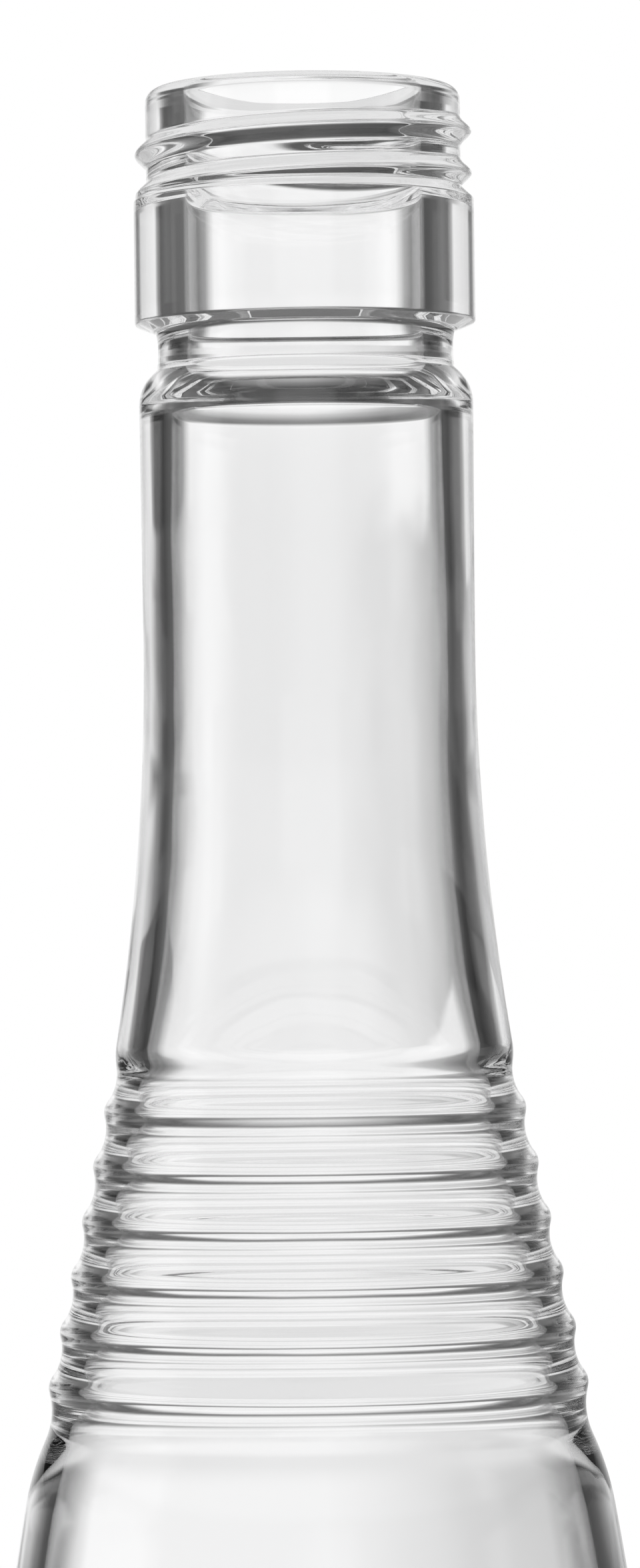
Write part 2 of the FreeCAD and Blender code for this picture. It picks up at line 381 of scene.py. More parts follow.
def close_tree(graph: Graph, mesh: Socket, material: bpy.types.Material) -> None:
    """Ends a geometry tree: joins coincident points, smooths, realizes and sets the material.

    Args:
        graph: The tree.
        mesh: The finished geometry.
        material: Its material.
    """
    merge = graph.add("GeometryNodeMergeByDistance")
    merge.inputs["Distance"].default_value = SPECK
    graph.feed(merge.inputs["Geometry"], mesh)
    smooth = graph.add("GeometryNodeSetShadeSmooth")
    graph.feed(smooth.inputs["Geometry"], merge.outputs["Geometry"])
    realize = graph.add("GeometryNodeRealizeInstances")
    graph.feed(realize.inputs["Geometry"], smooth.outputs["Geometry"])
    paint = graph.add("GeometryNodeSetMaterial")
    paint.inputs["Material"].default_value = material
    graph.feed(paint.inputs["Geometry"], realize.outputs["Geometry"])
    graph.feed(graph.add("NodeGroupOutput").inputs["Geometry"], paint.outputs["Geometry"])


def grown(name: str, section: bpy.types.Mesh, graph: Graph, sizes: dict[str, float]) -> bpy.types.Object:
    """Runs a geometry tree on a section and keeps its result as a plain mesh.

    Args:
        name: The piece's name.
        section: The mesh that the tree reads.
        graph: The tree.
        sizes: The values of the tree's named inputs.

    Returns:
        The piece, linked to the scene.
    """
    seed = bpy.data.objects.new(name + "_section", section)
    bpy.context.scene.collection.objects.link(seed)
    modifier = seed.modifiers.new("turned", "NODES")
    modifier.node_group = graph.tree
    identifiers = {
        item.name: item.identifier
        for item in graph.tree.interface.items_tree
        if item.item_type == "SOCKET" and item.in_out == "INPUT"
    }
    for label, value in sizes.items():
        modifier[identifiers[label]] = value
    depsgraph = bpy.context.evaluated_depsgraph_get()
    mesh = bpy.data.meshes.new_from_object(seed.evaluated_get(depsgraph), depsgraph=depsgraph)
    seed.modifiers.remove(modifier)
    bpy.data.objects.remove(seed)
    mesh.name = name
    piece = bpy.data.objects.new(name, mesh)
    bpy.context.scene.collection.objects.link(piece)
    return piece


def section_mesh(name: str, points: list[Point], attributes: dict[str, list[float]]) -> bpy.types.Mesh:
    """Makes a mesh of a section's points, with one value per point for each attribute.

    Args:
        name: The mesh's name.
        points: Radii and heights in millimetres.
        attributes: Values by attribute name.

    Returns:
        The mesh.
    """
    mesh = bpy.data.meshes.new(name)
    mesh.from_pydata([(r * MM, 0.0, z * MM) for r, z in points], [], [])
    for label, values in attributes.items():
        layer = mesh.attributes.new(label, "FLOAT", "POINT")
        layer.data.foreach_set("value", values)
    return mesh


def face_outwards(mesh: bpy.types.Mesh) -> None:
    """Turns a closed mesh's faces outwards if they point inwards.

    Args:
        mesh: The mesh.
    """
    mesh.calc_loop_triangles()
    volume = 0.0
    for triangle in mesh.loop_triangles:
        a, b, c = (mesh.vertices[i].co for i in triangle.vertices)
        volume += a.dot(b.cross(c))
    if volume < 0.0:
        mesh.flip_normals()


def thicken(piece: bpy.types.Object, thickness: float) -> None:
    """Makes a sheet solid by growing it inwards, and keeps the result as its plain mesh.

    Args:
        piece: The sheet, its faces outwards.
        thickness: The sheet's thickness in metres.
    """
    modifier = piece.modifiers.new("sheet", "SOLIDIFY")
    modifier.thickness = thickness
    modifier.offset = -1.0
    depsgraph = bpy.context.evaluated_depsgraph_get()
    solid = bpy.data.meshes.new_from_object(piece.evaluated_get(depsgraph), depsgraph=depsgraph)
    piece.modifiers.remove(modifier)
    solid.name = piece.data.name
    solid.set_sharp_from_angle(angle=SHARP)
    piece.data = solid


def new_material(name: str) -> tuple[bpy.types.Material, Graph, bpy.types.Node]:
    """Starts a node material.

    Args:
        name: The material's name.

    Returns:
        The material, its graph and its surface shader.
    """
    material = bpy.data.materials.new(name)
    material.use_nodes = True
    graph = Graph(material.node_tree)
    shader = next(n for n in material.node_tree.nodes if n.type == "BSDF_PRINCIPLED")
    return material, graph, shader


def cloud(graph: Graph, scale: tuple[float, float, float], detail: float) -> Socket:
    """A soft noise on object coordinates.

    Args:
        graph: The material's graph.
        scale: Noise cells per metre along each axis.
        detail: How many finer layers are added.

    Returns:
        The noise, about 0.5.
    """
    spot = graph.add("ShaderNodeTexCoord").outputs["Object"]
    stretch = graph.add("ShaderNodeMapping")
    graph.feed(stretch.inputs["Vector"], spot)
    stretch.inputs["Scale"].default_value = scale
    noise = graph.add("ShaderNodeTexNoise")
    noise.inputs["Scale"].default_value = 1.0
    noise.inputs["Detail"].default_value = detail
    graph.feed(noise.inputs["Vector"], stretch.outputs["Vector"])
    return noise.outputs["Fac"]


def blended(graph: Graph, share: Socket, low: Colour, high: Colour) -> Socket:
    """Mixes two colours.

    Args:
        graph: The material's graph.
        share: How much of the second colour shows.
        low: The first colour.
        high: The second colour.

    Returns:
        The mixed colour.
    """
    mix = graph.add("ShaderNodeMix", data_type="RGBA")
    graph.feed(mix.inputs["Factor"], share)
    mix.inputs["A"].default_value = (*low, 1.0)
    mix.inputs["B"].default_value = (*high, 1.0)
    return mix.outputs["Result"]


def bumped(graph: Graph, shader: bpy.types.Node, height: Socket, depth: float, strength: float) -> None:
    """Gives a shader a bump.

    Args:
        graph: The material's graph.
        shader: The surface shader.
        height: The bump's height field.
        depth: The height in metres that a full step of the field stands for.
        strength: How much of it shows.
    """
    bump = graph.add("ShaderNodeBump")
    bump.inputs["Distance"].default_value = depth
    bump.inputs["Strength"].default_value = strength
    graph.feed(bump.inputs["Height"], height)
    graph.feed(shader.inputs["Normal"], bump.outputs["Normal"])


@dataclass(frozen=True)
class ClearGlass:
    """Colourless, fire-polished bottle glass. Cells are per metre."""

    thin: Colour = (0.99, 0.99, 0.99)
    thick: Colour = (0.968, 0.968, 0.97)
    index: float = 1.52
    polish: float = 0.012
    patch_cells: tuple[float, float, float] = (60.0, 60.0, 25.0)

    def material(self) -> bpy.types.Material:
        """Builds the finish as a node material.

        Returns:
            The material.
        """
        material, graph, shader = new_material("clear_glass")
        patches = cloud(graph, self.patch_cells, detail=2.0)
        graph.feed(shader.inputs["Base Color"], blended(graph, patches, self.thin, self.thick))
        graph.feed(shader.inputs["Roughness"], graph.math("MULTIPLY", patches, self.polish))
        shader.inputs["IOR"].default_value = self.index
        shader.inputs["Transmission Weight"].default_value = 1.0
        return material


@dataclass(frozen=True)
class RolledAluminium:
    """Satin sheet aluminium under a thin clear lacquer. Cells are per metre."""

    bright: Colour = (0.83, 0.83, 0.84)
    dull: Colour = (0.70, 0.70, 0.72)
    roughness: float = 0.26
    roughness_swing: float = 0.18
    lacquer: float = 0.25
    lacquer_roughness: float = 0.12
    wear_cells: tuple[float, float, float] = (260.0, 260.0, 420.0)
    grain_cells: tuple[float, float, float] = (500.0, 500.0, 9000.0)
    grain_depth: float = 0.00002
    grain_strength: float = 0.08

    def material(self) -> bpy.types.Material:
        """Builds the finish as a node material.

        Returns:
            The material.
        """
        material, graph, shader = new_material("rolled_aluminium")
        worn = cloud(graph, self.wear_cells, detail=4.0)
        drawn = cloud(graph, self.grain_cells, detail=2.0)
        graph.feed(shader.inputs["Base Color"], blended(graph, worn, self.bright, self.dull))
        smoothest = self.roughness - self.roughness_swing / 2
        rough = graph.math("MULTIPLY_ADD", worn, self.roughness_swing, smoothest)
        graph.feed(shader.inputs["Roughness"], rough)
        shader.inputs["Metallic"].default_value = 1.0
        shader.inputs["Coat Weight"].default_value = self.lacquer
        shader.inputs["Coat Roughness"].default_value = self.lacquer_roughness
        bumped(graph, shader, drawn, self.grain_depth, self.grain_strength)
        return material


@dataclass(frozen=True)
class SealingCompound:
    """The cap liner's soft off-white compound. Cells are per metre."""

    pale: Colour = (0.88, 0.86, 0.81)
    dark: Colour = (0.76, 0.73, 0.66)
    smoothest: float = 0.45
    roughness_swing: float = 0.2
    mottle_cells: tuple[float, float, float] = (700.0, 700.0, 700.0)
    mottle_depth: float = 0.00005
    mottle_strength: float = 0.4

    def material(self) -> bpy.types.Material:
        """Builds the finish as a node material.

        Returns:
            The material.
        """
        material, graph, shader = new_material("sealing_compound")
        mottle = cloud(graph, self.mottle_cells, detail=5.0)
        graph.feed(shader.inputs["Base Color"], blended(graph, mottle, self.pale, self.dark))
        rough = graph.math("MULTIPLY_ADD", mottle, self.roughness_swing, self.smoothest)
        graph.feed(shader.inputs["Roughness"], rough)
        bumped(graph, shader, mottle, self.mottle_depth, self.mottle_strength)
        return material


@dataclass
class GlassBottle:
    """The one-piece glass. Sizes are in millimetres, and a drop is measured down from the lip."""

    node: str = "glass_bottle"
    segments: int = 200
    heel_round: float = 6.0
    bearing_radius: float = 20.0
    push_up: float = 5.0
    body_top_drop: float = 167.0
    shoulder_top: Point = (24.3, 117.0)
    swell_foot: Point = (22.56, 111.37)
    ring_count: int = 6
    ring_pitch: float = 4.52
    ring_first: Point = (17.4, 84.2)
    ring_slope: float = 0.213
    ring_round: float = 1.5
    ring_valley: float = 3.8
    neck_hollow: Point = (16.357, 80.709)
    neck_foot_drop: float = 79.0
    neck_waist: Point = (13.71, 46.0)
    neck_flare: float = 208.0
    neck_top: Point = (13.82, 26.2)
    groove_foot: Point = (12.35, 23.3)
    groove_top: Point = (12.35, 20.2)
    groove_hollow: float = 8.0
    collar_radius: float = 14.1
    collar_foot_drop: float = 19.5
    collar_top_drop: float = 9.3
    land_foot_drop: float = 8.3
    land_radius: float = 13.05
    collar_round: float = 0.3
    land_foot_round: float = 0.5
    lip_round: float = 1.1
    lip_inner_round: float = 0.8
    bore: Point = (9.8, 24.7)
    inner_neck_top: Point = (11.2, 27.0)
    step_round: float = 0.9
    inner_waist: Point = (11.4, 57.0)
    inner_cone_top: Point = (14.0, 80.0)
    inner_cone_foot: Point = (21.9, 117.0)
    body_wall: float = 2.4
    floor_middle: float = 8.5
    floor_edge: Point = (15.0, 7.2)
    inner_heel: float = 15.0
    thread_pitch: float = 3.47
    thread_half_width: float = 1.25
    thread_drop: float = 7.16
    thread_height: float = 0.91
    thread_turns: Point = (-0.55, 1.2)
    thread_fade: float = 0.12
    ripple: float = 0.06
    ripple_cells: float = 45.0
    ripple_scale: float = 1.6
    ripple_detail: float = 2.0
    ripple_top_drops: Point = (27.0, 40.0)
    ripple_foot_heights: Point = (15.0, 30.0)
    height: float = field(init=False)
    body_radius: float = field(init=False)

    def __post_init__(self) -> None:
        """Reads the bottle's height and body radius from the frame."""
        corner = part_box(self.node)[1]
        self.height = corner[2] / MM
        self.body_radius = corner[0] / MM

    def at(self, place: Point) -> Point:
        """Turns a radius and a drop into a radius and a height."""
        return place[0], self.height - place[1]

    def ring_edge(self, ring: int, side: Side) -> Point:
        """Where a ring's round crest meets the valley beside it.

        Args:
            ring: The ring, counted down from 1.
            side: The flank.

        Returns:
            The radius and height there.
        """
        stretch = math.hypot(1.0, self.ring_slope)
        half_pitch = self.ring_pitch * stretch / 2
        reach = self.ring_round + self.ring_valley
        share = self.ring_round / reach
        along = half_pitch * share * side.value
        out = math.sqrt(reach**2 - half_pitch**2) * share - self.ring_round
        step = self.ring_pitch * (ring - 1)
        radius = self.ring_first[0] + step * self.ring_slope + (along * self.ring_slope + out) / stretch
        drop = self.ring_first[1] + step + (along - out * self.ring_slope) / stretch
        return self.at((radius, drop))

    def draw_outside(self, pen: SectionPen) -> None:
        """Draws the outside from the middle of the base up to the lip.

        Args:
            pen: The pen, not yet put down.
        """
        pen.start(0.0, self.push_up)
        dome = tangent_round(self.push_up, self.bearing_radius)
        pen.arc(self.bearing_radius, 0.0, dome, Bend.RIGHT, rows=14)
        pen.line(self.body_radius - self.heel_round, 0.0, rows=3)
        pen.arc(self.body_radius, self.heel_round, self.heel_round, Bend.LEFT, rows=12)
        pen.line(self.body_radius, self.height - self.body_top_drop, rows=12)
        over = self.body_radius - self.shoulder_top[0]
        shoulder = tangent_round(over, self.body_top_drop - self.shoulder_top[1])
        pen.arc(*self.at(self.shoulder_top), shoulder, Bend.LEFT, rows=20)
        pen.flow(*self.at(self.swell_foot), rows=9)
        pen.flow(*self.ring_edge(self.ring_count, Side.LOWER), rows=9)
        for ring in range(self.ring_count, 0, -1):
            pen.arc(*self.ring_edge(ring, Side.UPPER), self.ring_round, Bend.LEFT, rows=5)
            if ring > 1:
                next_ring = self.ring_edge(ring - 1, Side.LOWER)
                pen.arc(*next_ring, self.ring_valley, Bend.RIGHT, rows=9)
        pen.arc(*self.at(self.neck_hollow), self.ring_valley, Bend.RIGHT, rows=6)
        fall = self.neck_foot_drop - self.neck_waist[1]
        spread = self.neck_flare - math.sqrt(self.neck_flare**2 - fall**2)
        foot = (self.neck_waist[0] + spread, self.neck_foot_drop)
        pen.flow(*self.at(foot), rows=7)
        pen.arc(*self.at(self.neck_waist), self.neck_flare, Bend.RIGHT, rows=20)
        pen.line(*self.at(self.neck_top), rows=10)
        neck_round = tangent_round(
            self.neck_top[0] - self.groove_foot[0], self.neck_top[1] - self.groove_foot[1]
        )
        pen.arc(*self.at(self.groove_foot), neck_round, Bend.LEFT, rows=10)
        collar_foot = self.at((self.collar_radius, self.collar_foot_drop))
        collar_top = self.at((self.collar_radius, self.collar_top_drop))
        land_foot = self.at((self.land_radius, self.land_foot_drop))
        land_top = self.at((self.land_radius, 0.0))
        lip = self.at((self.bore[0], 0.0))
        pen.arc(*self.at(self.groove_top), self.groove_hollow, Bend.RIGHT, rows=10)
        pen.corner(collar_foot, collar_top, self.collar_round, rows=6, run_rows=3)
        pen.corner(collar_top, land_foot, self.collar_round, rows=5, run_rows=8)
        pen.corner(land_foot, land_top, self.land_foot_round, rows=5, run_rows=3)
        pen.corner(land_top, lip, self.lip_round, rows=9, run_rows=58)

    def draw_inside(self, pen: SectionPen) -> None:
        """Draws the inside from the lip down to the middle of the floor.

        Args:
            pen: The pen, at the lip.
        """
        lip = self.at((self.bore[0], 0.0))
        bore_foot, neck_top, waist = map(self.at, (self.bore, self.inner_neck_top, self.inner_waist))
        pen.corner(lip, bore_foot, self.lip_inner_round, rows=6, run_rows=3)
        pen.corner(bore_foot, neck_top, self.step_round, rows=7, run_rows=15)
        pen.corner(neck_top, waist, self.step_round, rows=7, run_rows=5)
        pen.line(*waist, rows=22)
        flare = tangent_round(
            self.inner_cone_top[0] - self.inner_waist[0], self.inner_cone_top[1] - self.inner_waist[1]
        )
        pen.arc(*self.at(self.inner_cone_top), flare, Bend.LEFT, rows=16)
        pen.line(*self.at(self.inner_cone_foot), rows=26)
        inner_radius = self.body_radius - self.body_wall
        shoulder = tangent_round(
            inner_radius - self.inner_cone_foot[0], self.body_top_drop - self.inner_cone_foot[1]
        )
        pen.arc(inner_radius, self.height - self.body_top_drop, shoulder, Bend.RIGHT, rows=24)
        pen.line(inner_radius, self.inner_heel, rows=18)
        heel = tangent_round(inner_radius - self.floor_edge[0], self.inner_heel - self.floor_edge[1])
        pen.arc(*self.floor_edge, heel, Bend.RIGHT, rows=12)
        floor = tangent_round(self.floor_middle - self.floor_edge[1], self.floor_edge[0])
        pen.arc(0.0, self.floor_middle, floor, Bend.LEFT, rows=10)

    def section(self) -> bpy.types.Mesh:
        """Draws the whole half section, with its wall attribute.

        Returns:
            The section's points as a mesh.
        """
        pen = SectionPen()
        self.draw_outside(pen)
        outside = len(pen.points)
        self.draw_inside(pen)
        inside = len(pen.points) - outside
        walls = [Wall.OUTSIDE.value] * outside + [Wall.INSIDE.value] * inside
        pen.points[-1] = (0.0, self.floor_middle)
        return section_mesh("glass_section", pen.points, {"wall": walls})

    def tree(self, material: bpy.types.Material) -> tuple[Graph, dict[str, float]]:
        """Builds the tree that turns the section and raises the screw thread on its land.

        Args:
            material: The glass.

        Returns:
            The tree, and the values of its named inputs.
        """
        sizes = {
            "Thread Pitch": self.thread_pitch * MM,
            "Thread Half Width": self.thread_half_width * MM,
            "Thread Drop": self.thread_drop * MM,
            "Thread Height": self.thread_height * MM,
            "First Turn": self.thread_turns[0],
            "Last Turn": self.thread_turns[1],
            "Thread Fade": self.thread_fade,
            "Lip Height": self.height * MM,
            "Land Radius": self.land_radius * MM,
            "Ripple": self.ripple * MM,
        }
        graph, inputs, section = nodes_group("turned_glass", sizes)
        mesh, angle, row, place = lathe(graph, section, self.segments)
        wall = sampled(graph, section, row, "wall")
        split = graph.add("ShaderNodeSeparateXYZ")
        graph.feed(split.inputs[0], place)
        radius, height = split.outputs["X"], split.outputs["Z"]
        drop = graph.math("SUBTRACT", inputs["Lip Height"], height)
        ridge = graph.math("MULTIPLY", helix(graph, drop, angle, inputs), inputs["Thread Height"])
        crest = graph.math("ADD", inputs["Land Radius"], ridge)
        outside = graph.math("SUBTRACT", 1.0, wall)
        on_land = graph.math("MULTIPLY", graph.math("GREATER_THAN", ridge, SPECK), outside)
        raised = graph.math("MAXIMUM", radius, graph.math("MULTIPLY", crest, on_land))
        waves = self.ripples(graph, angle, height, wall, inputs)
        spread = graph.math("ADD", raised, waves)
        close_tree(graph, placed(graph, mesh, spread, angle, height), material)
        return graph, sizes

    def ripples(
        self, graph: Graph, angle: Socket, height: Socket, wall: Socket, inputs: dict[str, Socket]
    ) -> Socket:
        """Small unevenness of the blown inner wall, below the plunger-formed bore.

        Args:
            graph: The tree.
            angle: The point's angle.
            height: The point's height.
            wall: 1 on the inside.
            inputs: The tree's named inputs.

        Returns:
            The radial offset.
        """
        spot = graph.add("ShaderNodeCombineXYZ")
        graph.feed(spot.inputs[0], graph.math("COSINE", angle))
        graph.feed(spot.inputs[1], graph.math("SINE", angle))
        graph.feed(spot.inputs[2], graph.math("MULTIPLY", height, self.ripple_cells))
        noise = graph.add("ShaderNodeTexNoise")
        noise.inputs["Scale"].default_value = self.ripple_scale
        noise.inputs["Detail"].default_value = self.ripple_detail
        graph.feed(noise.inputs["Vector"], spot.outputs[0])
        swing = graph.math("MULTIPLY_ADD", noise.outputs["Fac"], 2.0, -1.0)
        below_bore = graph.smooth(height, *((self.height - drop) * MM for drop in self.ripple_top_drops))
        above_floor = graph.smooth(height, *(level * MM for level in self.ripple_foot_heights))
        where = graph.math("MULTIPLY", wall, graph.math("MULTIPLY", below_bore, above_floor))
        return graph.math("MULTIPLY", graph.math("MULTIPLY", swing, inputs["Ripple"]), where)

    def build(self, finish: ClearGlass) -> bpy.types.Object:
        """Makes the glass and puts it in the place of its solid.

        Args:
            finish: The glass.

        Returns:
            The piece.
        """
        graph, sizes = self.tree(finish.material())
        piece = grown("bottle_glass", self.section(), graph, sizes)
        face_outwards(piece.data)
        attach(piece, "bottle")
        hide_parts(self.node)
        return piece


@dataclass
class Closure:
    """The loose cap: its rolled metal shell and the sealing liner inside it. Sizes are in millimetres."""

    shell_node: str = "cap_shell"
    liner_node: str = "cap_liner"
    sheet: float = 0.25
    corner_round: float = 1.2
    bead_height: float = 15.2
    bead_half_width: float = 0.6
    bead_depth: float = 0.3
    slit_low: float = 5.6
    slit_high: float = 6.2
    slit_angle: float = 36.0
    bridges: int = 8
    flutes: int = 72
    flute_steps: int = 6
    flute_depth: float = 0.3
    knurl_low: float = 16.4
    knurl_high: float = 19.8
    knurl_fade: float = 0.35
    centre: Point = field(init=False)
    radius: float = field(init=False)
    height: float = field(init=False)

    def __post_init__(self) -> None:
        """Reads the cap's place, radius and height from the frame."""
        low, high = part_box(self.shell_node)
        self.centre = ((low[0] + high[0]) / 2 / MM, (low[1] + high[1]) / 2 / MM)
        self.radius = (high[0] - low[0]) / 2 / MM
        self.height = high[2] / MM

    def section(self) -> bpy.types.Mesh:
        """Draws the outer face of half the cup, from the middle of its top to the open rim.

        Returns:
            The section's points as a mesh.
        """
        pen = SectionPen()
        pen.start(0.0, self.height)
        pen.line(self.radius - self.corner_round, self.height, rows=6)
        pen.arc(self.radius, self.height - self.corner_round, self.corner_round, Bend.RIGHT, rows=8)
        bead_round = tangent_round(self.bead_depth, self.bead_half_width)
        pen.line(self.radius, self.bead_height + self.bead_half_width, rows=22)
        pen.arc(self.radius, self.bead_height - self.bead_half_width, bead_round, Bend.LEFT, rows=10)
        pen.line(self.radius, self.slit_high, rows=6)
        pen.line(self.radius, self.slit_low, rows=1)
        pen.line(self.radius, 0.0, rows=4)
        return section_mesh("cap_section", pen.points, {})

    def tree(self, material: bpy.types.Material) -> tuple[Graph, dict[str, float]]:
        """Builds the tree that turns the cup, rolls its knurl, cuts its slits and puts it in place.

        Args:
            material: The metal.

        Returns:
            The tree, and the values of its named inputs.
        """
        sizes = {
            "Flutes": float(self.flutes),
            "Flute Depth": self.flute_depth * MM,
            "Knurl Low": self.knurl_low * MM,
            "Knurl High": self.knurl_high * MM,
            "Knurl Fade": self.knurl_fade * MM,
            "Slit Low": self.slit_low * MM,
            "Slit High": self.slit_high * MM,
            "Bridges": float(self.bridges),
            "Slit Share": self.slit_angle * self.bridges / 360.0,
        }
        graph, inputs, section = nodes_group("rolled_cap", sizes)
        mesh, angle, _, place = lathe(graph, section, self.flutes * self.flute_steps)
        split = graph.add("ShaderNodeSeparateXYZ")
        graph.feed(split.inputs[0], place)
        radius, height = split.outputs["X"], split.outputs["Z"]
        spread = graph.math("SUBTRACT", radius, self.knurl(graph, angle, height, inputs))
        turned_cup = placed(graph, mesh, spread, angle, height)
        cut = graph.add("GeometryNodeDeleteGeometry", domain="FACE")
        graph.feed(cut.inputs["Geometry"], turned_cup)
        graph.feed(cut.inputs["Selection"], self.in_slit(graph, inputs))
        shift = graph.add("GeometryNodeSetPosition")
        graph.feed(shift.inputs["Geometry"], cut.outputs["Geometry"])
        shift.inputs["Offset"].default_value = (self.centre[0] * MM, self.centre[1] * MM, 0.0)
        close_tree(graph, shift.outputs["Geometry"], material)
        return graph, sizes

    def knurl(self, graph: Graph, angle: Socket, height: Socket, inputs: dict[str, Socket]) -> Socket:
        """How deep the grip's flutes go at a point of the skirt.

        Args:
            graph: The tree.
            angle: The point's angle.
            height: The point's height.
            inputs: The tree's named inputs.

        Returns:
            The depth.
        """
        wave = graph.math("COSINE", graph.math("MULTIPLY", angle, inputs["Flutes"]))
        hollow = graph.math("MULTIPLY_ADD", wave, -0.5, 0.5)
        low, high, fade = inputs["Knurl Low"], inputs["Knurl High"], inputs["Knurl Fade"]
        above = graph.smooth(height, low, graph.math("ADD", low, fade))
        under = graph.smooth(height, high, graph.math("SUBTRACT", high, fade))
        band = graph.math("MULTIPLY", above, under)
        return graph.math("MULTIPLY", graph.math("MULTIPLY", hollow, band), inputs["Flute Depth"])

    def in_slit(self, graph: Graph, inputs: dict[str, Socket]) -> Socket:
        """Whether a face lies in one of the slits between the bridges.

        Args:
            graph: The tree.
            inputs: The tree's named inputs.

        Returns:
            1 in a slit and 0 elsewhere.
        """
        split = graph.add("ShaderNodeSeparateXYZ")
        graph.feed(split.inputs[0], graph.add("GeometryNodeInputPosition").outputs[0])
        x, y, z = split.outputs
        period = graph.math("DIVIDE", TURN, inputs["Bridges"])
        half = graph.math("DIVIDE", period, 2.0)
        off = graph.math("WRAP", graph.math("ARCTAN2", y, x), half, graph.math("MULTIPLY", half, -1.0))
        reach = graph.math("MULTIPLY", half, inputs["Slit Share"])
        beside = graph.math("LESS_THAN", graph.math("ABSOLUTE", off), reach)
        above = graph.math("GREATER_THAN", z, inputs["Slit Low"])
        under = graph.math("LESS_THAN", z, inputs["Slit High"])
        return graph.math("MULTIPLY", beside, graph.math("MULTIPLY", above, under))

    def build(self, metal: RolledAluminium) -> bpy.types.Object:
        """Makes the rolled shell and puts it in the place of its solid.

        Args:
            metal: The shell's finish.

        Returns:
            The shell.
        """
        graph, sizes = self.tree(metal.material())
        piece = grown("cap_metal", self.section(), graph, sizes)
        face_outwards(piece.data)
        thicken(piece, self.sheet * MM)
        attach(piece, "cap")
        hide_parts(self.shell_node)
        return piece

    def dress_liner(self, compound: SealingCompound) -> bpy.types.Object:
        """Gives the liner's solid its finish.

        Args:
            compound: The finish.

        Returns:
            The liner.
        """
        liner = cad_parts[self.liner_node]
        liner.data.materials.clear()
        liner.data.materials.append(compound.material())
        return liner


